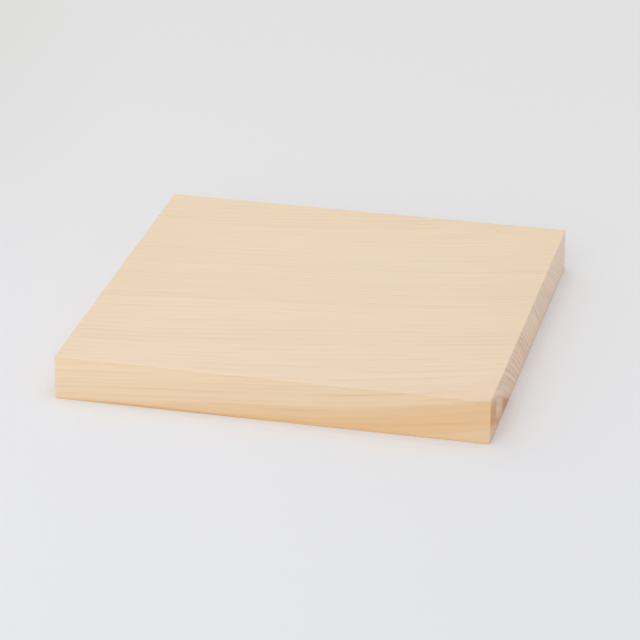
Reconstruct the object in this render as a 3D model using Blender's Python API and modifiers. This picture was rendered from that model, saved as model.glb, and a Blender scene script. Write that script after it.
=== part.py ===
"""Square cutting board, worked from one solid plank of pale softwood.

Units are metres, +Z is up. The origin is the centre of the underside.
+X runs along the grain, from the left end to the right end, and +Y runs
across it, from the front edge to the back edge.
"""

import bpy

# Driving dimensions, in metres
BOARD_SIDE = 0.290
BOARD_THICKNESS = 0.030
ARRIS_RADIUS = 0.0005

# Facets round each eased edge
ARRIS_SEGMENTS = 4

# Finish of bare, planed wood, as linear colour
WOOD_COLOUR = (0.76, 0.59, 0.42, 1.0)
WOOD_ROUGHNESS = 0.62


def clear_scene():
    """Remove every object, so that the board is alone."""
    for obj in list(bpy.data.objects):
        bpy.data.objects.remove(obj, do_unlink=True)


def make_collection(name):
    """A new collection, linked to the scene."""
    collection = bpy.data.collections.new(name)
    bpy.context.scene.collection.children.link(collection)
    return collection


def wood_material():
    """Bare wood with no varnish on it."""
    material = bpy.data.materials.new("bare_softwood")
    material.use_nodes = True
    shader = material.node_tree.nodes["Principled BSDF"]
    shader.inputs["Base Color"].default_value = WOOD_COLOUR
    shader.inputs["Roughness"].default_value = WOOD_ROUGHNESS
    shader.inputs["Metallic"].default_value = 0.0
    return material


def ease_arrises(obj):
    """Round every edge of the plank by the same small radius."""
    bevel = obj.modifiers.new("eased arrises", "BEVEL")
    bevel.limit_method = "ANGLE"
    bevel.width = ARRIS_RADIUS
    bevel.segments = ARRIS_SEGMENTS
    bevel.use_clamp_overlap = True
    bevel.harden_normals = True
    obj.data.shade_smooth()


def make_board(collection):
    """The plank: square in plan, standing on z = 0."""
    middle = (0.0, 0.0, BOARD_THICKNESS / 2)
    bpy.ops.mesh.primitive_cube_add(size=1.0, location=middle)
    board = bpy.context.active_object
    board.name = "board"
    board.data.name = "board"
    board.scale = (BOARD_SIDE, BOARD_SIDE, BOARD_THICKNESS)
    bpy.ops.object.transform_apply(location=False, rotation=False, scale=True)
    ease_arrises(board)
    board.data.materials.append(wood_material())
    for home in list(board.users_collection):
        home.objects.unlink(board)
    collection.objects.link(board)
    return board


def main():
    clear_scene()
    make_board(make_collection("square_cutting_board"))


main()
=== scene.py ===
"""Square cutting board of pale solid softwood, shown on a plain pale floor in soft studio light.

The file is laid out as an add-on and is run as a script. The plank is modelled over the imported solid
"board", and its wood is worked out in depth: growth rings, heartwood and fibres are fields that fill the
plank, so that each line carries on from one face to the next round the arrises.

Units are metres. +X runs along the grain, +Y from the front edge to the back edge, and +Z is up.
Places along and across the plank are shares of its length and breadth, counted from its middle, apart
from those of the stain, which are metres.
"""

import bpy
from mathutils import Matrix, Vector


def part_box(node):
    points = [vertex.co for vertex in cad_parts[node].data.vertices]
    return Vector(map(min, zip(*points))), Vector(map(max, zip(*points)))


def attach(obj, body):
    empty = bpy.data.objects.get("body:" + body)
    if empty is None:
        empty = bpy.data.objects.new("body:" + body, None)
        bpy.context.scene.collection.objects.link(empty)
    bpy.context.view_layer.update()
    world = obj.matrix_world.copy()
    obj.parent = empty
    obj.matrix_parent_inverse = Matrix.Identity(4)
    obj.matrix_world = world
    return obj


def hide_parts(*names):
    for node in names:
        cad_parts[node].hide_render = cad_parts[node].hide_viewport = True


bl_info = {
    "name": "Square cutting board",
    "version": (1, 0, 0),
    "blender": (4, 5, 0),
    "location": "3D View > Sidebar > Cutting board",
    "description": "Makes a square softwood cutting board and a plain studio stage for it",
    "category": "Add Mesh",
}

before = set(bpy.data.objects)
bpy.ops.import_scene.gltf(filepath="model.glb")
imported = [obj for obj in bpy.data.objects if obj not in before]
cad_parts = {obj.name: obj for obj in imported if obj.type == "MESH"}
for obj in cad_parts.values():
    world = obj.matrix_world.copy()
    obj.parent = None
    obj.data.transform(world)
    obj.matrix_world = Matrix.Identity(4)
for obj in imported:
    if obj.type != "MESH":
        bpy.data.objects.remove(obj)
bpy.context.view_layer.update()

import math

import bmesh
import bpy
from bpy.props import FloatProperty, FloatVectorProperty, IntProperty, PointerProperty
from mathutils import Matrix, Vector, noise

BOARD_LOW, BOARD_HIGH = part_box("board")
BOARD_SIZE = BOARD_HIGH - BOARD_LOW


class PlankSettings(bpy.types.PropertyGroup):
    """Sizes and shape of the plank."""

    length: FloatProperty(
        name="Length",
        description="Size of the plank along the grain",
        default=BOARD_SIZE.x,
        min=0.05,
        unit="LENGTH",
    )
    breadth: FloatProperty(
        name="Breadth",
        description="Size of the plank across the grain",
        default=BOARD_SIZE.y,
        min=0.05,
        unit="LENGTH",
    )
    thickness: FloatProperty(
        name="Thickness",
        description="Height of the plank",
        default=BOARD_SIZE.z,
        min=0.005,
        unit="LENGTH",
    )
    arris_radius: FloatProperty(
        name="Arris radius",
        description="Largest radius to which the edges are eased",
        default=0.0005,
        min=0.0001,
        unit="LENGTH",
    )
    arris_unevenness: FloatProperty(
        name="Arris unevenness",
        description="Largest share of the radius by which hand sanding left it smaller, along an edge",
        default=0.35,
        min=0.0,
        max=0.9,
        subtype="FACTOR",
    )
    arris_steps: IntProperty(
        name="Arris steps",
        description="Facets from a face to the middle of an eased edge",
        default=5,
        min=1,
    )
    face_step: FloatProperty(
        name="Face step",
        description="Spacing of the mesh on the flat faces",
        default=0.005,
        min=0.001,
        unit="LENGTH",
    )


def colour_setting(name, description, default, most=1.0):
    """A colour or a tint that a user can change, with the most that each part of it may be."""
    return FloatVectorProperty(
        name=name,
        description=description,
        default=(*default, 1.0),
        size=4,
        min=0.0,
        max=most,
        subtype="COLOR",
    )


class WoodSettings(bpy.types.PropertyGroup):
    """Colours, growth and roughness of the wood, and tints that paint light, shade and sheen on it."""

    sapwood: colour_setting(
        name="Sapwood",
        description="Pale wood between the growth lines",
        default=(0.829, 0.653, 0.472),
    )
    latewood: colour_setting(
        name="Latewood",
        description="Growth lines in the pale wood",
        default=(0.70, 0.49, 0.30),
    )
    heartwood: colour_setting(
        name="Heartwood",
        description="Tan wood from the middle of the trunk",
        default=(0.768, 0.522, 0.299),
    )
    heart_line: colour_setting(
        name="Heart line",
        description="Orange of the heartwood's growth lines, of the pin knot and of specks on the ends",
        default=(0.66, 0.37, 0.165),
    )
    pitch: colour_setting(
        name="Pitch",
        description="Orange line of pitch in the heartwood",
        default=(0.76, 0.40, 0.15),
    )
    # Painted sheen: this tint makes the long sides and the outer part of the faces yellower where the white
    # sheen is weaker, and paints a yellow highlight along the upper arris.
    painted_sheen_tint: colour_setting(
        name="Painted sheen",
        description="Tint of the long sides and of the outer part of the faces, painted yellower where white sheen is weaker",
        default=(0.987, 0.975, 0.932),
    )
    # Partly painted light: the end tints hold the end grain's colour, lifted above that of the faces and
    # paler towards the bark at the back, standing in for the brighter light and sheen on that end.
    end_heart_tint_and_light: colour_setting(
        name="End tint by the heart",
        description="Tint of the cut ends on the side of the heart",
        default=(1.03, 0.957, 0.975),
        most=1.2,
    )
    end_bark_tint_and_light: colour_setting(
        name="End tint by the bark",
        description="Tint of the cut ends on the side of the bark",
        default=(1.065, 1.075, 1.185),
        most=1.2,
    )
    end_line: colour_setting(
        name="End grain line",
        description="Tint of the growth lines on the cut ends",
        default=(0.66, 0.56, 0.49),
    )
    end_stain: colour_setting(
        name="End stain",
        description="Tint of the heartwood on the cut ends, where it is stained",
        default=(0.78, 0.53, 0.22),
    )
    end_bleach: colour_setting(
        name="End bleach",
        description="Tint of the cut ends just outside the heartwood",
        default=(1.045, 1.085, 1.13),
        most=1.2,
    )
    # Painted warm bounce light: this tint makes the lowest few millimetres orange, as light bounced between
    # floor and wood would.
    painted_bounce_tint: colour_setting(
        name="Painted bounce",
        description="Tint of the lowest few millimetres, painted warm bounce light between floor and wood",
        default=(1.03, 0.95, 0.76),
        most=1.2,
    )
    # Painted shadow: this grey tint darkens the foot just above the lowest arris, where the gap under the
    # plank lies in shade.
    painted_gap_shade_tint: colour_setting(
        name="Painted gap shade",
        description="Tint of the foot just above the lowest arris, painted shade of the gap under the plank",
        default=(0.76, 0.74, 0.75),
    )
    # Painted light: this tint makes the lowest arris paler, lifting the shade where the plank meets the
    # floor.
    painted_arris_light_tint: colour_setting(
        name="Painted arris light",
        description="Tint of the lowest arris, painted light that lifts the contact shade",
        default=(1.12, 1.14, 1.2),
        most=2.0,
    )
    ring_spacing: FloatProperty(
        name="Ring spacing",
        description="Mean height from one growth line to the next, straight up through the plank",
        default=0.0043,
        min=0.0005,
        unit="LENGTH",
    )
    heart_depth: FloatProperty(
        name="Heart depth",
        description="Growth depth at which the heartwood begins, from the middle of the underside",
        default=-0.0822,
        unit="LENGTH",
    )
    roughness: FloatProperty(
        name="Roughness",
        description="Mean roughness of the planed wood",
        default=0.58,
        min=0.0,
        max=1.0,
        subtype="FACTOR",
    )


class StageSettings(bpy.types.PropertyGroup):
    """Floor, light and camera of the studio."""

    # Painted light and shade on the floor: it is painted brighter and bluer in front, darker to the right
    # in front, and dimmer in a far corner to the left.
    floor_near_lit: colour_setting(
        name="Near floor",
        description="Colour of the floor in front of the board",
        default=(0.815, 0.82, 0.85),
    )
    floor_far: colour_setting(
        name="Far floor",
        description="Colour of the floor behind the board",
        default=(0.76, 0.76, 0.76),
    )
    floor_corner_shade: colour_setting(
        name="Floor corner",
        description="Tint of the far floor to the left of the board",
        default=(0.965, 0.96, 0.95),
    )
    floor_side_shade: colour_setting(
        name="Floor side",
        description="Tint of the near floor to the right of the board",
        default=(0.95, 0.95, 0.945),
    )
    sky_level: FloatProperty(
        name="Sky level",
        description="Light that comes evenly from all round",
        default=0.575,
        min=0.0,
    )
    overhead_level: FloatProperty(
        name="Overhead level",
        description="Light of the wide soft lamp overhead, on a face turned to it",
        default=0.258,
        min=0.0,
    )
    front_level: FloatProperty(
        name="Front level",
        description="Light of the wide soft lamp in front, on a face turned to it",
        default=0.327,
        min=0.0,
    )
    back_level: FloatProperty(
        name="Back level",
        description="Light of the wide soft lamp behind, on a face turned to it",
        default=0.07,
        min=0.0,
    )
    lamp_spread: FloatProperty(
        name="Lamp spread",
        description="Width of each soft lamp, as seen from the board",
        default=math.radians(55.0),
        subtype="ANGLE",
    )
    azimuth: FloatProperty(
        name="Camera azimuth",
        description="Turn of the camera to the right of the front edge",
        default=math.radians(13.267),
        subtype="ANGLE",
    )
    elevation: FloatProperty(
        name="Camera elevation",
        description="Height of the camera over the floor, as an angle",
        default=math.radians(24.365),
        subtype="ANGLE",
    )
    roll: FloatProperty(
        name="Camera roll",
        description="Lean of the camera about its own axis",
        default=math.radians(0.162),
        subtype="ANGLE",
    )
    distance: FloatProperty(
        name="Camera distance",
        description="Distance from the camera to the middle of the underside, before its shifts",
        default=2.2269,
        min=0.1,
        unit="LENGTH",
    )
    aside: FloatProperty(
        name="Camera aside",
        description="Shift of the camera to its own right",
        default=-0.0008,
        unit="LENGTH",
    )
    above: FloatProperty(
        name="Camera above",
        description="Shift of the camera to its own top",
        default=0.00711,
        unit="LENGTH",
    )
    lens: FloatProperty(
        name="Lens",
        description="Focal length on a sensor 36 mm wide",
        default=182.23,
        min=1.0,
        unit="CAMERA",
    )


# Sockets of the colour form of Blender's Mix node
MIX_FACTOR = 0
MIX_FIRST = 6
MIX_SECOND = 7
MIX_RESULT = 2


class Wiring:
    """Places and joins the nodes of one node tree."""

    def __init__(self, tree):
        self.tree = tree

    def add(self, kind):
        """A new node."""
        return self.tree.nodes.new(kind)

    def feed(self, socket, source):
        """Link a socket to another, or set it to a plain value."""
        if isinstance(source, bpy.types.NodeSocket):
            self.tree.links.new(source, socket)
        else:
            socket.default_value = source

    def math(self, operation, *terms):
        """One step of arithmetic."""
        node = self.add("ShaderNodeMath")
        node.operation = operation
        for socket, term in zip(node.inputs, terms):
            self.feed(socket, term)
        return node.outputs["Value"]

    def taken_over(self, operation, terms):
        """One operation, taken over all the terms in turn."""
        result = terms[0]
        for term in terms[1:]:
            result = self.math(operation, result, term)
        return result

    def total(self, *terms):
        return self.taken_over("ADD", terms)

    def product(self, *terms):
        return self.taken_over("MULTIPLY", terms)

    def largest(self, *terms):
        return self.taken_over("MAXIMUM", terms)

    def less(self, field, amount):
        return self.math("SUBTRACT", field, amount)

    def apart(self, field, middle):
        """How far a field is from a middle, on either side of it."""
        return self.math("ABSOLUTE", self.less(field, middle))

    def split(self, vector):
        """The three parts of a vector."""
        node = self.add("ShaderNodeSeparateXYZ")
        self.feed(node.inputs["Vector"], vector)
        return node.outputs["X"], node.outputs["Y"], node.outputs["Z"]

    def stretched(self, fields, scales):
        """A vector of three fields, each with its own scale."""
        node = self.add("ShaderNodeCombineXYZ")
        for socket, field, scale in zip(node.inputs, fields, scales):
            self.feed(socket, self.math("MULTIPLY", field, scale))
        return node.outputs["Vector"]

    def centred(self, field):
        """A field from 0 to 1, made to run from -1 to 1."""
        return self.math("MULTIPLY", self.less(field, 0.5), 2.0)

    def noise(self, vector, detail=2.0, roughness=0.5):
        """Smooth noise from about -1 to 1, at the scale of its vector."""
        node = self.add("ShaderNodeTexNoise")
        self.feed(node.inputs["Vector"], vector)
        node.inputs["Scale"].default_value = 1.0
        node.inputs["Detail"].default_value = detail
        node.inputs["Roughness"].default_value = roughness
        return self.centred(node.outputs["Fac"])

    def noise_along(self, field, scale, detail=1.0):
        """Smooth noise from about -1 to 1, along one field."""
        node = self.add("ShaderNodeTexNoise")
        node.noise_dimensions = "1D"
        self.feed(node.inputs["W"], self.math("MULTIPLY", field, scale))
        node.inputs["Scale"].default_value = 1.0
        node.inputs["Detail"].default_value = detail
        return self.centred(node.outputs["Fac"])

    def lot(self, number):
        """A random value from 0 to 1 for each number."""
        node = self.add("ShaderNodeTexWhiteNoise")
        node.noise_dimensions = "1D"
        self.feed(node.inputs["W"], number)
        return node.outputs["Value"]

    def rise(self, field, low, high, start=0.0, end=1.0):
        """A smooth step from start to end, as the field goes from low to high."""
        node = self.add("ShaderNodeMapRange")
        node.interpolation_type = "SMOOTHSTEP"
        for socket, term in zip(node.inputs, (field, low, high, start, end)):
            self.feed(socket, term)
        return node.outputs["Result"]

    def profile(self, field, points):
        """A curve through a few points, read at a field that goes from 0 to 1."""
        node = self.add("ShaderNodeFloatCurve")
        curve = node.mapping.curves[0]
        curve.points[0].location = points[0]
        curve.points[1].location = points[-1]
        for place, height in points[1:-1]:
            curve.points.new(place, height)
        node.mapping.update()
        self.feed(node.inputs["Value"], field)
        return node.outputs["Value"]

    def blend(self, share, first, second, kind="MIX"):
        """Two colours, mixed by a share of the second."""
        node = self.add("ShaderNodeMix")
        node.data_type = "RGBA"
        node.blend_type = kind
        self.feed(node.inputs[MIX_FACTOR], share)
        self.feed(node.inputs[MIX_FIRST], first)
        self.feed(node.inputs[MIX_SECOND], second)
        return node.outputs[MIX_RESULT]

    def tinted(self, share, colour, tint):
        """A colour, changed by a share of a tint."""
        return self.blend(share, colour, tint, "MULTIPLY")


def placed(shares, size):
    """Places on a side of the plank, from shares of that side's size."""
    return tuple(share * size for share in shares)


# Lean of the growth rings across the plank: its slope, a wave on it, and the wave's length and middle
LEAN_MEAN = 0.635
LEAN_SWING = 0.165
LEAN_WAVE = 1.1
LEAN_MIDDLE = 0.025

# Climb of the growth rings along the plank: its slope, its bend, and slope gained for each metre past it
CLIMB_MEAN = 0.078
CLIMB_BEND = 0.04
CLIMB_GAIN = 1.0

# Veer of the growth rings: a drop to the left, which steepens the climb in the middle of the front half
VEER_DROP = 0.008
VEER_ALONG = (-0.38, 0.26)
VEER_MIDDLE = -0.27
VEER_REACH = 0.23

# Twist of the growth rings: a little more climb over the back half
TWIST_CLIMB = 0.018
TWIST_ACROSS = (-0.1, 0.035)

# Wander of the growth rings: how fast it goes along, across and up, and how far it moves them
WOBBLE_SCALES = (5.0, 14.0, 14.0)
WOBBLE_REACH = 0.0018
RIPPLE_SCALES = (22.0, 70.0, 70.0)
RIPPLE_REACH = 0.0005


def growth_depth(wiring, plank, place):
    """Growth depth at a point: how far up through the rings it lies, from the heart towards the bark."""
    x, y, z = place
    wave = LEAN_WAVE * plank.breadth
    turn = wiring.less(y, LEAN_MIDDLE * plank.breadth)
    swing = wiring.math("SINE", wiring.product(turn, math.tau / wave))
    lean = wiring.total(wiring.product(y, LEAN_MEAN), wiring.product(swing, LEAN_SWING * wave / math.tau))
    past_bend = wiring.largest(wiring.less(x, CLIMB_BEND * plank.length), 0.0)
    bend = wiring.product(past_bend, past_bend, CLIMB_GAIN / 2)
    drop = wiring.rise(x, *placed(VEER_ALONG, plank.length), -VEER_DROP, 0.0)
    off_veer = wiring.apart(y, VEER_MIDDLE * plank.breadth)
    veer = wiring.product(drop, wiring.rise(off_veer, VEER_REACH * plank.breadth, 0.0))
    twisting = wiring.rise(y, *placed(TWIST_ACROSS, plank.breadth), 0.0, TWIST_CLIMB)
    twist = wiring.product(wiring.less(x, plank.length / 2), twisting)
    climb = wiring.total(wiring.product(x, CLIMB_MEAN), bend, veer, twist)
    wobble = wiring.noise(wiring.stretched(place, WOBBLE_SCALES))
    ripple = wiring.noise(wiring.stretched(place, RIPPLE_SCALES))
    return wiring.total(
        wiring.less(wiring.total(z, lean), climb),
        wiring.product(wobble, WOBBLE_REACH),
        wiring.product(ripple, RIPPLE_REACH),
    )


# Growth rings: closer together towards the bark, and uneven in width
RING_CROWDING = 0.0066
RING_JITTER = 0.45
RING_JITTER_SCALE = 0.4

# Growth line over the width of one ring, from the heart's side, and the strength of the weakest line
RING_PROFILE = (
    (0.0, 0.0),
    (0.30, 0.04),
    (0.62, 0.24),
    (0.84, 0.85),
    (0.92, 1.0),
    (0.975, 0.55),
    (1.0, 0.0),
)
BOLDNESS_LEAST = 0.45

# Broad form of the growth line, for the cut ends
BROAD_LINE_SPAN = (0.35, 0.85)

# Fine line in each ring: where it may lie, how it rises to its middle, and its greatest strength
FINE_LINE_PLACES = (0.2, 0.6)
FINE_LINE_SPAN = (0.12, 0.02)
FINE_LINE_BOLDNESS = 0.65

# Fading of the lines in patches along the grain
FADING_SCALES = (19.0, 200.0, 30.0)
FADING_SPAN = (-0.55, 0.45)
FADED_SHARE = 0.15

# Lots drawn for each ring: what is added to its number for each further draw
FINE_PLACE_LOT = 0.11
FINE_BOLDNESS_LOT = 0.53
TONE_LOT = 0.37


def growth_lines(wiring, wood, grain):
    """Growth lines, their broad form for the cut ends, and the tone of each ring."""
    rings = wiring.product(grain[1], 1.0 / wood.ring_spacing)
    crowding = wiring.product(rings, rings, RING_CROWDING)
    jitter = wiring.product(wiring.noise_along(rings, RING_JITTER_SCALE), RING_JITTER)
    count = wiring.total(rings, crowding, jitter)
    ring = wiring.math("FLOOR", count)
    part = wiring.math("FRACT", count)
    boldness = wiring.rise(wiring.lot(ring), 0.0, 1.0, BOLDNESS_LEAST, 1.0)
    main_line = wiring.product(wiring.profile(part, RING_PROFILE), boldness)
    broad_line = wiring.product(wiring.rise(part, *BROAD_LINE_SPAN), boldness)
    fine_place = wiring.rise(wiring.lot(wiring.total(ring, FINE_PLACE_LOT)), 0.0, 1.0, *FINE_LINE_PLACES)
    fine_boldness = wiring.product(wiring.lot(wiring.total(ring, FINE_BOLDNESS_LOT)), FINE_LINE_BOLDNESS)
    fine_line = wiring.product(wiring.rise(wiring.apart(part, fine_place), *FINE_LINE_SPAN), fine_boldness)
    fading = wiring.noise(wiring.stretched(grain, FADING_SCALES))
    lasting = wiring.rise(fading, *FADING_SPAN, FADED_SHARE, 1.0)
    latewood = wiring.product(wiring.largest(main_line, fine_line), lasting)
    band = wiring.product(wiring.largest(broad_line, fine_line), lasting)
    tone = wiring.less(wiring.lot(wiring.total(ring, TONE_LOT)), 0.5)
    return latewood, band, tone


# Fibres, as fine streaks that follow the rings
STREAK_SCALES = (26.0, 850.0, 110.0)
STREAK_ROUGHNESS = 0.6

GROWTH_OUTPUTS = ("Depth", "Latewood", "Band", "Ring tone", "Streak")


def growth_group(plank, wood):
    """Node group: growth depth, growth lines and fibres at any point in the plank."""
    group = bpy.data.node_groups.new("growth_rings", "ShaderNodeTree")
    group.interface.new_socket("Position", in_out="INPUT", socket_type="NodeSocketVector")
    for name in GROWTH_OUTPUTS:
        group.interface.new_socket(name, in_out="OUTPUT", socket_type="NodeSocketFloat")
    wiring = Wiring(group)
    start = wiring.add("NodeGroupInput")
    end = wiring.add("NodeGroupOutput")
    place = wiring.split(start.outputs["Position"])
    depth = growth_depth(wiring, plank, place)
    grain = (place[0], depth, place[1])
    latewood, band, tone = growth_lines(wiring, wood, grain)
    streak = wiring.noise(wiring.stretched(grain, STREAK_SCALES), roughness=STREAK_ROUGHNESS)
    for name, field in zip(GROWTH_OUTPUTS, (depth, latewood, band, tone, streak)):
        wiring.feed(end.inputs[name], field)
    return group


# Ends and long sides: how far a normal has to point their way, from a first share to a full one
FACING_SPAN = (0.6, 0.9)

# Cut cells of the end grain
CELL_SCALES = (600.0, 1500.0, 1500.0)


class WoodFields:
    """What is known of the wood at a point on the plank, for its colour and its finish."""

    def __init__(self, wiring, plank, wood):
        coordinates = wiring.add("ShaderNodeTexCoord")
        growth = wiring.add("ShaderNodeGroup")
        growth.node_tree = growth_group(plank, wood)
        wiring.feed(growth.inputs["Position"], coordinates.outputs["Object"])
        self.depth, self.latewood, self.band, self.ring_tone, self.streak = growth.outputs
        self.place = wiring.split(coordinates.outputs["Object"])
        self.x, self.y, self.z = self.place
        self.grain = (self.x, self.depth, self.y)
        facing = wiring.split(coordinates.outputs["Normal"])
        self.end_face = wiring.rise(wiring.math("ABSOLUTE", facing[0]), *FACING_SPAN)
        self.long_side = wiring.rise(wiring.math("ABSOLUTE", facing[1]), *FACING_SPAN)
        self.cells = wiring.noise(wiring.stretched(self.place, CELL_SCALES))
        self.outside_heart = outside_heart(wiring, plank, wood, self)
        self.stain_patches = stain_patches(wiring, self)


# Rim of the heartwood, where it leaves the rings: slope along, turn to the back, lift at the right end
HEART_SLOPE = 0.0197
HEART_SLOPE_FROM = -0.03
HEART_TURN = 0.19
HEART_TURN_FROM = -0.41
HEART_LIFT = 0.035
HEART_LIFT_FROM = 0.39

# Swell of the rim near the front, which grows to the right
HEART_SWELL = 0.03
HEART_SWELL_MIDDLE = -0.38
HEART_SWELL_REACH = 0.2

# Fray of the rim, and its step from ring to ring
FRAY_SCALES = (30.0, 160.0, 160.0)
FRAY_DETAIL = 4.0
FRAY_ROUGHNESS = 0.6
FRAY_REACH = 0.001
RING_STEP = 0.003


def outside_heart(wiring, plank, wood, fields):
    """Growth depth outside the rim of the heartwood, below zero inside it."""
    past_slope = wiring.largest(fields.x, HEART_SLOPE_FROM * plank.length)
    past_turn = wiring.largest(wiring.less(fields.y, HEART_TURN_FROM * plank.breadth), 0.0)
    past_lift = wiring.largest(wiring.less(fields.x, HEART_LIFT_FROM * plank.length), 0.0)
    off_swell = wiring.apart(fields.y, HEART_SWELL_MIDDLE * plank.breadth)
    swell = wiring.rise(off_swell, HEART_SWELL_REACH * plank.breadth, 0.0, 0.0, HEART_SWELL)
    fray = wiring.noise(wiring.stretched(fields.place, FRAY_SCALES), FRAY_DETAIL, FRAY_ROUGHNESS)
    return wiring.total(
        fields.depth,
        -wood.heart_depth,
        wiring.product(past_slope, HEART_SLOPE),
        wiring.product(past_turn, -HEART_TURN),
        wiring.product(past_lift, -HEART_LIFT),
        wiring.product(swell, fields.x, -1.0),
        wiring.product(fray, FRAY_REACH),
        wiring.product(fields.ring_tone, RING_STEP),
    )


# Stain patches of the heartwood, in metres across and up: from where each begins to where it is whole
FRONT_STAIN_ACROSS = (-0.1215, -0.1275)
FRONT_STAIN_SHARE = 0.83
BACK_STAIN_ACROSS = (-0.109, -0.097)
BACK_STAIN_HEIGHT = (0.014, 0.0075)
BACK_STAIN_SHARES = (0.25, 1.0)
LOW_STAIN_ACROSS = (-0.107, -0.123)
LOW_STAIN_HEIGHT = (0.010, 0.006)
LOW_STAIN_SHARES = (0.2, 0.8)


def stain_patches(wiring, fields):
    """Where the heartwood is stained: a front patch, a back patch and a weaker band low down."""
    front = wiring.rise(fields.y, *FRONT_STAIN_ACROSS, 0.0, FRONT_STAIN_SHARE)
    back_height = wiring.rise(fields.z, *BACK_STAIN_HEIGHT, *BACK_STAIN_SHARES)
    back = wiring.product(wiring.rise(fields.y, *BACK_STAIN_ACROSS), back_height)
    low_share = wiring.rise(fields.y, *LOW_STAIN_ACROSS, *LOW_STAIN_SHARES)
    low = wiring.product(wiring.rise(fields.z, *LOW_STAIN_HEIGHT), low_share)
    return wiring.largest(front, back, low)


# Tan of the heartwood, over growth depth outside its rim: where each change begins and where it is whole
BLUSH_SPAN = (0.020, 0.0)
BLUSH_SHARE = 0.18
CRISP_TAN_SPAN = (0.0016, -0.002)
SOFT_TAN_SPAN = (0.0, -0.010)
PALING_SPAN = (-0.016, -0.024)
PALED_SHARE = 0.62
UNSTAINED_SHARE = 0.6

# How crisp the rim is, from the left to the right
CRISP_ALONG = (0.1, 0.38)
CRISP_SHARES = (0.62, 0.9)


def heart_share(wiring, plank, fields):
    """How far the wood is tan heartwood: crisper at its rim to the right, and paler deep inside."""
    outside = fields.outside_heart
    blush = wiring.rise(outside, *BLUSH_SPAN, 0.0, BLUSH_SHARE)
    crispness = wiring.rise(fields.x, *placed(CRISP_ALONG, plank.length), *CRISP_SHARES)
    crisp_tan = wiring.rise(outside, *CRISP_TAN_SPAN)
    soft_tan = wiring.rise(outside, *SOFT_TAN_SPAN)
    tan = wiring.total(soft_tan, wiring.product(crispness, wiring.less(crisp_tan, soft_tan)))
    paling = wiring.rise(outside, *PALING_SPAN, 1.0, PALED_SHARE)
    staining = wiring.rise(fields.stain_patches, 0.0, 1.0, UNSTAINED_SHARE, 1.0)
    return wiring.product(wiring.largest(blush, tan), paling, staining)


# Line of pitch: its place inside the heart depth, its slope along the plank, its fade and its strength
PITCH_INSET = 0.0098
PITCH_SLOPE = 0.0426
PITCH_SPAN = (0.0011, 0.0002)
PITCH_SHARE = 0.3


def pitch_share(wiring, wood, fields):
    """How far the wood is the orange line of pitch."""
    sloped = wiring.total(fields.depth, wiring.product(fields.x, PITCH_SLOPE))
    off_pitch = wiring.total(sloped, PITCH_INSET - wood.heart_depth)
    return wiring.rise(wiring.math("ABSOLUTE", off_pitch), *PITCH_SPAN, 0.0, PITCH_SHARE)


# Growth lines on the planed faces: strength, gains by the heart and to the front, share in the heartwood
LINE_STRENGTH = 0.43
BY_HEART_SPAN = (-0.045, -0.075)
BY_HEART_GAIN = 1.32
TO_FRONT_ACROSS = (0.2, -0.4)
TO_FRONT_GAINS = (1.03, 1.16)
HEART_LINE_SHARE = 0.55


def planed_colour(wiring, plank, wood, fields):
    """Sapwood and heartwood with their growth lines, as the planed faces show them."""
    by_heart = wiring.product(wiring.rise(fields.depth, *BY_HEART_SPAN), fields.long_side)
    heart_gain = wiring.rise(by_heart, 0.0, 1.0, 1.0, BY_HEART_GAIN)
    off_side = wiring.less(1.0, fields.long_side)
    to_front = wiring.product(off_side, wiring.rise(fields.y, *placed(TO_FRONT_ACROSS, plank.breadth)))
    front_gain = wiring.rise(to_front, 0.0, 1.0, *TO_FRONT_GAINS)
    line = wiring.product(fields.latewood, heart_gain, front_gain, LINE_STRENGTH)
    pale = wiring.blend(line, wood.sapwood, wood.latewood)
    tan = wiring.blend(wiring.product(line, HEART_LINE_SHARE), wood.heartwood, wood.heart_line)
    tan = wiring.blend(pitch_share(wiring, wood, fields), tan, wood.pitch)
    return wiring.blend(heart_share(wiring, plank, fields), pale, tan)


# Tone of the wood: how much each ring, each fibre and a slow drift change it, and its fall along each
# metre, which is painted shade darkening it from left to right
RING_WEIGHT = 0.025
END_RING_SPAN = (0.07, 0.0)
END_RING_WEIGHTS = (0.06, 0.12)
STREAK_WEIGHT = 0.042
DRIFT_SCALES = (6.0, 60.0, 12.0)
DRIFT_DETAIL = 3.0
DRIFT_ROUGHNESS = 0.55
DRIFT_WEIGHT = 0.012
PAINTED_LIGHT_FALL = 0.1


def toned_colour(wiring, fields, colour):
    """A colour made lighter or darker by rings, fibres and drift, and darker to the right as painted shade.
    """
    end_ring_weight = wiring.rise(fields.depth, *END_RING_SPAN, *END_RING_WEIGHTS)
    ring_weight = wiring.rise(fields.end_face, 0.0, 1.0, RING_WEIGHT, end_ring_weight)
    drift = wiring.noise(wiring.stretched(fields.grain, DRIFT_SCALES), DRIFT_DETAIL, DRIFT_ROUGHNESS)
    tone = wiring.total(
        1.0,
        wiring.product(fields.ring_tone, ring_weight),
        wiring.product(fields.streak, STREAK_WEIGHT),
        wiring.product(drift, DRIFT_WEIGHT),
        wiring.product(fields.x, -PAINTED_LIGHT_FALL),
    )
    shade = wiring.add("ShaderNodeCombineColor")
    for socket in shade.inputs:
        wiring.feed(socket, tone)
    return wiring.tinted(1.0, colour, shade.outputs["Color"])


# Painted sheen tint, in shares of the plank: out from the middle, less at the front, and the upper arris
# again, as a painted yellow highlight
SHEEN_TINT_OUT = (0.22, 0.5)
SHEEN_TINT_ACROSS = (-0.5, 0.1)
SHEEN_TINT_SHARES = (0.5, 1.0)
ARRIS_HIGHLIGHT_HEIGHT = (0.84, 0.98)
ARRIS_HIGHLIGHT_SHARE = 0.7


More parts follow.
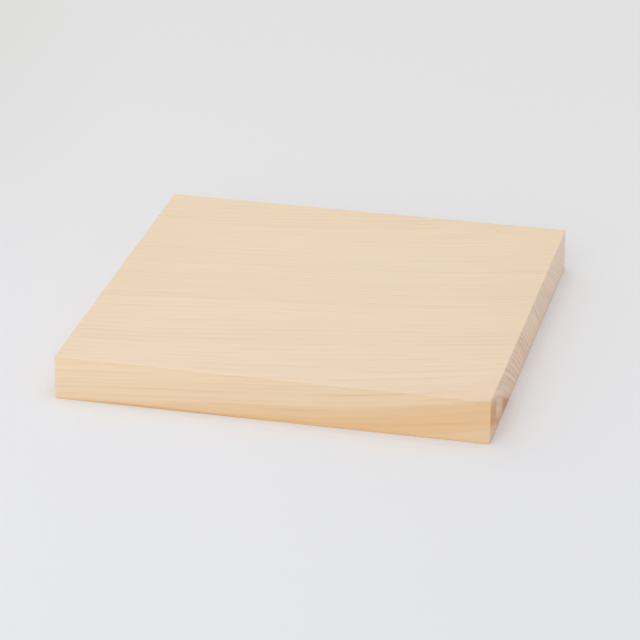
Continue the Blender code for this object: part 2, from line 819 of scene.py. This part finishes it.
def sheen_painted_colour(wiring, plank, wood, fields, colour):
    """A colour made yellower as painted sheen on the long sides and on the outer part of the faces, where
    the white sheen is weaker, and again along the upper arris of the long sides as a painted highlight.
    """
    off_middle = wiring.largest(wiring.math("ABSOLUTE", fields.x), fields.y)
    outer = wiring.product(
        wiring.rise(off_middle, *placed(SHEEN_TINT_OUT, plank.length)),
        wiring.rise(fields.y, *placed(SHEEN_TINT_ACROSS, plank.breadth), *SHEEN_TINT_SHARES),
    )
    colour = wiring.tinted(wiring.largest(outer, fields.long_side), colour, wood.painted_sheen_tint)
    upper = wiring.rise(fields.z, *placed(ARRIS_HIGHLIGHT_HEIGHT, plank.thickness), 0.0, ARRIS_HIGHLIGHT_SHARE)
    return wiring.tinted(wiring.product(fields.long_side, upper), colour, wood.painted_sheen_tint)


# Cut ends, over growth depth: their own tint from the heart to the bark, partly painted light that lifts
# them and pales them towards the back, and strength of the growth lines
END_TINT_SPAN = (-0.06, 0.09)
END_LINE_SPAN = (0.075, -0.02)
END_LINE_SHARES = (0.15, 0.97)

# Cut ends, over growth depth outside the heart's rim: stain inside it, pale wood and weaker lines beside it
STAIN_SPAN = (-0.0006, -0.0056)
STAIN_FADE_SPAN = (-0.0158, -0.0218)
STAIN_FADED_SHARE = 0.12
BLEACH_SPAN = (-0.001, 0.0012)
BLEACH_FADE_SPAN = (0.008, 0.003)
RIM_LINE_SPAN = (0.001, 0.011)
RIM_LINE_SHARE = 0.3

# Breaks in the growth lines of the cut ends
BREAK_SCALES = (0.0, 150.0, 150.0)
BREAK_SPAN = (-0.4, 0.5)
BROKEN_SHARE = 0.45


def cut_colour(wiring, wood, fields, colour):
    """The colour of the wood where its fibres are cut across, with painted light that lifts it and pales it
    towards the bark.
    """
    outside = fields.outside_heart
    to_bark = wiring.rise(fields.depth, *END_TINT_SPAN)
    end_tint_and_light = wiring.blend(to_bark, wood.end_heart_tint_and_light, wood.end_bark_tint_and_light)
    colour = wiring.tinted(1.0, colour, end_tint_and_light)
    stain_fade = wiring.rise(outside, *STAIN_FADE_SPAN, 1.0, STAIN_FADED_SHARE)
    stain = wiring.product(wiring.rise(outside, *STAIN_SPAN), fields.stain_patches, stain_fade)
    colour = wiring.tinted(stain, colour, wood.end_stain)
    bleach = wiring.product(wiring.rise(outside, *BLEACH_SPAN), wiring.rise(outside, *BLEACH_FADE_SPAN))
    colour = wiring.tinted(bleach, colour, wood.end_bleach)
    broken = wiring.noise(wiring.stretched(fields.place, BREAK_SCALES))
    strength = wiring.product(
        wiring.rise(fields.depth, *END_LINE_SPAN, *END_LINE_SHARES),
        wiring.rise(broken, *BREAK_SPAN, BROKEN_SHARE, 1.0),
        wiring.rise(outside, *RIM_LINE_SPAN, RIM_LINE_SHARE, 1.0),
    )
    return wiring.tinted(wiring.product(fields.band, strength), colour, wood.end_line)


# Pin knot through the plank: its place, its radius, the share of it that is darkest, and its strength
KNOT_ALONG = 0.337
KNOT_ACROSS = 0.4545
KNOT_RADIUS = 0.0013
KNOT_CORE = 0.3
KNOT_SHARE = 0.6

# Specks of cut cells on the ends
SPECK_SPAN = (-0.2, 0.6)
SPECK_SHARE = 0.12


def marked_colour(wiring, plank, wood, fields, colour):
    """A colour with the pin knot, and with the specks of the end grain."""
    knot_x = wiring.less(fields.x, KNOT_ALONG * plank.length)
    knot_y = wiring.less(fields.y, KNOT_ACROSS * plank.breadth)
    squared = wiring.total(wiring.product(knot_x, knot_x), wiring.product(knot_y, knot_y))
    off_knot = wiring.math("SQRT", squared)
    knot = wiring.rise(off_knot, KNOT_RADIUS, KNOT_CORE * KNOT_RADIUS, 0.0, KNOT_SHARE)
    colour = wiring.blend(knot, colour, wood.heart_line)
    speck = wiring.product(fields.end_face, wiring.rise(fields.cells, *SPECK_SPAN), SPECK_SHARE)
    return wiring.blend(speck, colour, wood.heart_line)


# Painted warm bounce light at the foot: its top on the long sides and on the ends, the height where it is
# full, and its strength
BOUNCE_TOPS = (0.0032, 0.006)
BOUNCE_FULL = 0.0006
BOUNCE_ALONG = (-0.35, 0.0)
BOUNCE_SHARES = (1.0, 0.72)
END_BOUNCE_SHARE = 0.3

# Painted shadow of the gap at the foot: its heights, the stretch of the long sides that it takes up, and
# its strength
GAP_SHADE_HEIGHT = (0.0020, 0.0009)
GAP_SHADE_MIDDLE = -0.255
GAP_SHADE_REACH = (0.24, 0.06)
GAP_SHADE_SHARE = 0.6
END_GAP_SHADE_SHARE = 0.45

# Painted light on the lowest arris: the heights where it begins and where it is full
ARRIS_LIGHT_HEIGHT = (0.0006, 0.0002)


def foot_colour(wiring, plank, wood, fields, colour):
    """A colour changed low down on the plank by painted warm bounce light, by a painted shadow of the gap
    under the plank, and by painted light on the lowest arris.
    """
    bounce_top = wiring.rise(fields.end_face, 0.0, 1.0, *BOUNCE_TOPS)
    side_bounce = wiring.rise(fields.x, *placed(BOUNCE_ALONG, plank.length), *BOUNCE_SHARES)
    bounce_share = wiring.rise(fields.end_face, 0.0, 1.0, side_bounce, END_BOUNCE_SHARE)
    bounce = wiring.product(wiring.rise(fields.z, bounce_top, BOUNCE_FULL), bounce_share)
    colour = wiring.tinted(bounce, colour, wood.painted_bounce_tint)
    off_gap_shade = wiring.apart(fields.x, GAP_SHADE_MIDDLE * plank.length)
    side_gap_shade = wiring.rise(off_gap_shade, *placed(GAP_SHADE_REACH, plank.length), 0.0, GAP_SHADE_SHARE)
    gap_shade_share = wiring.total(
        wiring.product(fields.long_side, side_gap_shade),
        wiring.product(fields.end_face, END_GAP_SHADE_SHARE),
    )
    gap_shade = wiring.product(wiring.rise(fields.z, *GAP_SHADE_HEIGHT), gap_shade_share)
    colour = wiring.tinted(gap_shade, colour, wood.painted_gap_shade_tint)
    return wiring.tinted(wiring.rise(fields.z, *ARRIS_LIGHT_HEIGHT), colour, wood.painted_arris_light_tint)


# Finish of the planed wood: how fibres, lines and cut cells roughen and raise it, and its soft gloss
STREAK_ROUGHENING = 0.05
END_ROUGHENING = 0.14
STREAK_RELIEF = 0.35
LINE_RELIEF = 0.3
CELL_RELIEF = 0.5
BUMP_STRENGTH = 0.35
BUMP_DISTANCE = 0.0002
SPECULAR_LEVEL = 0.5
SHEEN_WEIGHT = 0.22
SHEEN_ROUGHNESS = 0.5


def set_finish(wiring, wood, fields, shader):
    """Roughness, fine relief and soft gloss of planed wood."""
    rough = wiring.total(
        wood.roughness,
        wiring.product(fields.streak, STREAK_ROUGHENING),
        wiring.product(fields.end_face, END_ROUGHENING),
    )
    relief = wiring.total(
        wiring.product(fields.streak, STREAK_RELIEF),
        wiring.product(fields.latewood, LINE_RELIEF),
        wiring.product(fields.end_face, fields.cells, CELL_RELIEF),
    )
    bump = wiring.add("ShaderNodeBump")
    bump.inputs["Strength"].default_value = BUMP_STRENGTH
    bump.inputs["Distance"].default_value = BUMP_DISTANCE
    wiring.feed(bump.inputs["Height"], relief)
    wiring.feed(shader.inputs["Roughness"], rough)
    wiring.feed(shader.inputs["Normal"], bump.outputs["Normal"])
    shader.inputs["Specular IOR Level"].default_value = SPECULAR_LEVEL
    shader.inputs["Sheen Weight"].default_value = SHEEN_WEIGHT
    shader.inputs["Sheen Roughness"].default_value = SHEEN_ROUGHNESS


def softwood_material(plank, wood):
    """Planed, bare softwood with its growth lines, heartwood and end grain, and with painted light and
    shade on its faces and at its foot.
    """
    material = bpy.data.materials.new("bare_softwood")
    material.use_nodes = True
    shader = material.node_tree.nodes["Principled BSDF"]
    wiring = Wiring(material.node_tree)
    fields = WoodFields(wiring, plank, wood)
    colour = planed_colour(wiring, plank, wood, fields)
    colour = toned_colour(wiring, fields, colour)
    colour = sheen_painted_colour(wiring, plank, wood, fields, colour)
    colour = wiring.blend(fields.end_face, colour, cut_colour(wiring, wood, fields, colour))
    colour = marked_colour(wiring, plank, wood, fields, colour)
    colour = foot_colour(wiring, plank, wood, fields, colour)
    wiring.feed(shader.inputs["Base Color"], colour)
    set_finish(wiring, wood, fields, shader)
    return material


# Mesh of the plank: where its flat part begins, in arris radii, its fewest steps, and waves of the arris
FLAT_START = 1.8
FEWEST_STEPS = 2
ARRIS_WAVES = 28.0

# Corners of one quad, in steps along the two directions of a face
QUAD_STEPS = ((0, 0), (1, 0), (1, 1), (0, 1))


def stations(size, settings):
    """Places of the mesh lines along one side of the plank: close together over the arrises."""
    half = size / 2
    radius = settings.arris_radius
    steps = settings.arris_steps
    arc = [half - radius * (1 - math.tan(math.pi / 4 * k / steps)) for k in range(steps + 1)]
    inner = half - FLAT_START * radius
    count = max(FEWEST_STEPS, round(2 * inner / settings.face_step))
    flat = [-inner + 2 * inner * k / count for k in range(count + 1)]
    return [-place for place in reversed(arc)] + flat + arc


def eased(point, half, settings):
    """A point of the sharp box, moved in to the eased arris where it is near one."""
    wander = 0.5 + 0.5 * noise.noise(point * ARRIS_WAVES)
    radius = settings.arris_radius * (1 - settings.arris_unevenness * wander)
    inner = Vector(max(-h + radius, min(h - radius, p)) for p, h in zip(point, half))
    return inner + (point - inner).normalized() * radius


def face_quads(counts, axis, level):
    """The quads of one face of the plank, each as four corners, counted in mesh lines."""
    first, second = [other for other in range(3) if other != axis]
    for i in range(counts[first] - 1):
        for j in range(counts[second] - 1):
            quad = []
            for step_i, step_j in QUAD_STEPS:
                index = [level, level, level]
                index[first] = i + step_i
                index[second] = j + step_j
                quad.append(tuple(index))
            yield quad


def plank_mesh(settings):
    """The plank as one closed mesh of quads, finer over its eased arrises."""
    sizes = (settings.length, settings.breadth, settings.thickness)
    half = Vector(sizes) / 2
    lines = [stations(size, settings) for size in sizes]
    counts = [len(line) for line in lines]
    middle = (BOARD_LOW + BOARD_HIGH) / 2
    mesh = bpy.data.meshes.new("plank")
    shape = bmesh.new()
    known = {}

    def corner(index):
        if index not in known:
            point = Vector(line[k] for line, k in zip(lines, index))
            known[index] = shape.verts.new(middle + eased(point, half, settings))
        return known[index]

    for axis, count in enumerate(counts):
        for level in (0, count - 1):
            for quad in face_quads(counts, axis, level):
                shape.faces.new([corner(index) for index in quad])
    bmesh.ops.recalc_face_normals(shape, faces=shape.faces)
    shape.to_mesh(mesh)
    shape.free()
    mesh.shade_smooth()
    return mesh


class CUTTINGBOARD_OT_add_plank(bpy.types.Operator):
    """Make the plank and its wood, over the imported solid"""

    bl_idname = "cutting_board.add_plank"
    bl_label = "Add plank"

    def execute(self, context):
        settings = context.scene.cutting_board_plank
        wood = context.scene.cutting_board_wood
        plank = bpy.data.objects.new("plank", plank_mesh(settings))
        context.scene.collection.objects.link(plank)
        plank.data.materials.append(softwood_material(settings, wood))
        shading = plank.modifiers.new("even shading", "WEIGHTED_NORMAL")
        shading.keep_sharp = True
        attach(plank, "root")
        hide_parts("board")
        return {"FINISHED"}


# Floor: from its middle to its sides, its squares each way, and a gap under the plank
FLOOR_REACH = 6.0
FLOOR_SQUARES = 8
FLOOR_GAP = 0.0001

# Painted light and shade on the floor, in metres from the board's middle: brighter near, darker to the
# right, and a dimmer corner far to the left
NEAR_FLOOR = (0.7, -0.5)
RIGHT_FLOOR = (-0.25, 0.3)
CORNER_SIDE = Vector((-0.9733, -0.2295))
CORNER_FLOOR = (0.15, 0.30)
CORNER_BACK = (-0.1, 0.4)
PAPER_ROUGHNESS = 0.9
PAPER_SPECULAR = 0.1


def floor_material(stage):
    """Matt pale paper, painted brightest in front of the board on the left, with painted shade to the right
    and in a far corner to the left.
    """
    material = bpy.data.materials.new("pale_paper")
    material.use_nodes = True
    shader = material.node_tree.nodes["Principled BSDF"]
    wiring = Wiring(material.node_tree)
    coordinates = wiring.add("ShaderNodeTexCoord")
    x, y = wiring.split(coordinates.outputs["Object"])[:2]
    near = wiring.rise(y, *NEAR_FLOOR)
    colour = wiring.blend(near, stage.floor_far, stage.floor_near_lit)
    right = wiring.product(near, wiring.rise(x, *RIGHT_FLOOR))
    colour = wiring.tinted(right, colour, stage.floor_side_shade)
    leftward = wiring.total(wiring.product(x, CORNER_SIDE.x), wiring.product(y, CORNER_SIDE.y))
    corner = wiring.product(wiring.rise(leftward, *CORNER_FLOOR), wiring.rise(y, *CORNER_BACK))
    colour = wiring.tinted(corner, colour, stage.floor_corner_shade)
    wiring.feed(shader.inputs["Base Color"], colour)
    shader.inputs["Roughness"].default_value = PAPER_ROUGHNESS
    shader.inputs["Specular IOR Level"].default_value = PAPER_SPECULAR
    return material


def make_floor(context, stage):
    """A wide flat floor that the plank lies on."""
    mesh = bpy.data.meshes.new("floor")
    shape = bmesh.new()
    bmesh.ops.create_grid(shape, x_segments=FLOOR_SQUARES, y_segments=FLOOR_SQUARES, size=FLOOR_REACH)
    shape.to_mesh(mesh)
    shape.free()
    floor = bpy.data.objects.new("floor", mesh)
    floor.location.z = -FLOOR_GAP
    context.scene.collection.objects.link(floor)
    mesh.materials.append(floor_material(stage))


# Sky: white light, and the rays that see the backdrop in its place
SKY_COLOUR = (1.0, 1.0, 1.0, 1.0)
BACKDROP_LEVEL = 1.0
BACKDROP_RAYS = ("Is Camera Ray", "Is Transmission Ray", "Is Glossy Ray")


def make_sky(context, stage):
    """Even light from all round, with the far floor's colour behind everything."""
    world = bpy.data.worlds.new("studio")
    world.use_nodes = True
    wiring = Wiring(world.node_tree)
    nodes = world.node_tree.nodes
    light = nodes["Background"]
    light.inputs["Color"].default_value = SKY_COLOUR
    light.inputs["Strength"].default_value = stage.sky_level
    backdrop = wiring.add("ShaderNodeBackground")
    backdrop.inputs["Color"].default_value = stage.floor_far
    backdrop.inputs["Strength"].default_value = BACKDROP_LEVEL
    path = wiring.add("ShaderNodeLightPath")
    seen = wiring.largest(*[path.outputs[ray] for ray in BACKDROP_RAYS])
    choice = wiring.add("ShaderNodeMixShader")
    sources = (seen, light.outputs["Background"], backdrop.outputs["Background"])
    for socket, source in zip(choice.inputs, sources):
        wiring.feed(socket, source)
    wiring.feed(nodes["World Output"].inputs["Surface"], choice.outputs["Shader"])
    context.scene.world = world


# Sides of the board on which the lamps stand: overhead, in front and behind
UP = Vector((0.0, 0.0, 1.0))
FRONT_SIDE = Vector((-0.05, -0.9, 0.42))
BACK_SIDE = Vector((-0.64, 0.64, 0.42))

# Strength of a sun that lights a white face turned to it to a level of 1
FULL_SUN = math.pi


def make_lamp(context, name, side, level, spread):
    """One wide soft lamp, far off to the given side."""
    data = bpy.data.lights.new(name, "SUN")
    data.angle = spread
    data.energy = level * FULL_SUN
    lamp = bpy.data.objects.new(name, data)
    lamp.rotation_euler = (-side).to_track_quat("-Z", "Y").to_euler()
    context.scene.collection.objects.link(lamp)


# Camera: width of its sensor in millimetres, and the furthest that it sees
SENSOR_WIDTH = 36.0
CAMERA_REACH = 50.0


def make_camera(context, stage):
    """A long lens at the angle of the photograph."""
    flat = math.cos(stage.elevation)
    back = Vector((
        math.sin(stage.azimuth) * flat,
        -math.cos(stage.azimuth) * flat,
        math.sin(stage.elevation),
    ))
    level = UP.cross(back).normalized()
    upright = back.cross(level)
    right = level * math.cos(stage.roll) + upright * math.sin(stage.roll)
    top = upright * math.cos(stage.roll) - level * math.sin(stage.roll)
    data = bpy.data.cameras.new("camera")
    data.sensor_width = SENSOR_WIDTH
    data.lens = stage.lens
    data.clip_end = CAMERA_REACH
    camera = bpy.data.objects.new("camera", data)
    place = back * stage.distance + right * stage.aside + top * stage.above
    turn = Matrix((right, top, back)).transposed().to_4x4()
    camera.matrix_world = Matrix.Translation(place) @ turn
    context.scene.collection.objects.link(camera)
    context.scene.camera = camera


class CUTTINGBOARD_OT_set_stage(bpy.types.Operator):
    """Lay the floor, hang the lights and set the camera"""

    bl_idname = "cutting_board.set_stage"
    bl_label = "Set stage"

    def execute(self, context):
        stage = context.scene.cutting_board_stage
        make_floor(context, stage)
        make_sky(context, stage)
        make_lamp(context, "overhead", UP, stage.overhead_level, stage.lamp_spread)
        make_lamp(context, "front", FRONT_SIDE, stage.front_level, stage.lamp_spread)
        make_lamp(context, "back", BACK_SIDE, stage.back_level, stage.lamp_spread)
        make_camera(context, stage)
        context.scene.view_settings.view_transform = "Standard"
        return {"FINISHED"}


class CUTTINGBOARD_PT_panel(bpy.types.Panel):
    """Lists the settings and the operators"""

    bl_idname = "CUTTINGBOARD_PT_panel"
    bl_label = "Cutting board"
    bl_space_type = "VIEW_3D"
    bl_region_type = "UI"
    bl_category = "Cutting board"

    def draw(self, context):
        scene = context.scene
        parts = (
            (scene.cutting_board_plank, None),
            (scene.cutting_board_wood, CUTTINGBOARD_OT_add_plank.bl_idname),
            (scene.cutting_board_stage, CUTTINGBOARD_OT_set_stage.bl_idname),
        )
        for settings, operator in parts:
            box = self.layout.box()
            for name in settings.__annotations__:
                box.prop(settings, name)
            if operator:
                box.operator(operator)


CLASSES = (
    PlankSettings,
    WoodSettings,
    StageSettings,
    CUTTINGBOARD_OT_add_plank,
    CUTTINGBOARD_OT_set_stage,
    CUTTINGBOARD_PT_panel,
)


def register():
    """Make the settings, the operators and the panel known to Blender."""
    for cls in CLASSES:
        bpy.utils.register_class(cls)
    bpy.types.Scene.cutting_board_plank = PointerProperty(type=PlankSettings)
    bpy.types.Scene.cutting_board_wood = PointerProperty(type=WoodSettings)
    bpy.types.Scene.cutting_board_stage = PointerProperty(type=StageSettings)


def unregister():
    """Take them back out, in the opposite order."""
    del bpy.types.Scene.cutting_board_stage
    del bpy.types.Scene.cutting_board_wood
    del bpy.types.Scene.cutting_board_plank
    for cls in reversed(CLASSES):
        bpy.utils.unregister_class(cls)


def main():
    """Make the board and its stage."""
    register()
    bpy.ops.cutting_board.add_plank()
    bpy.ops.cutting_board.set_stage()


if __name__ == "__main__":
    main()
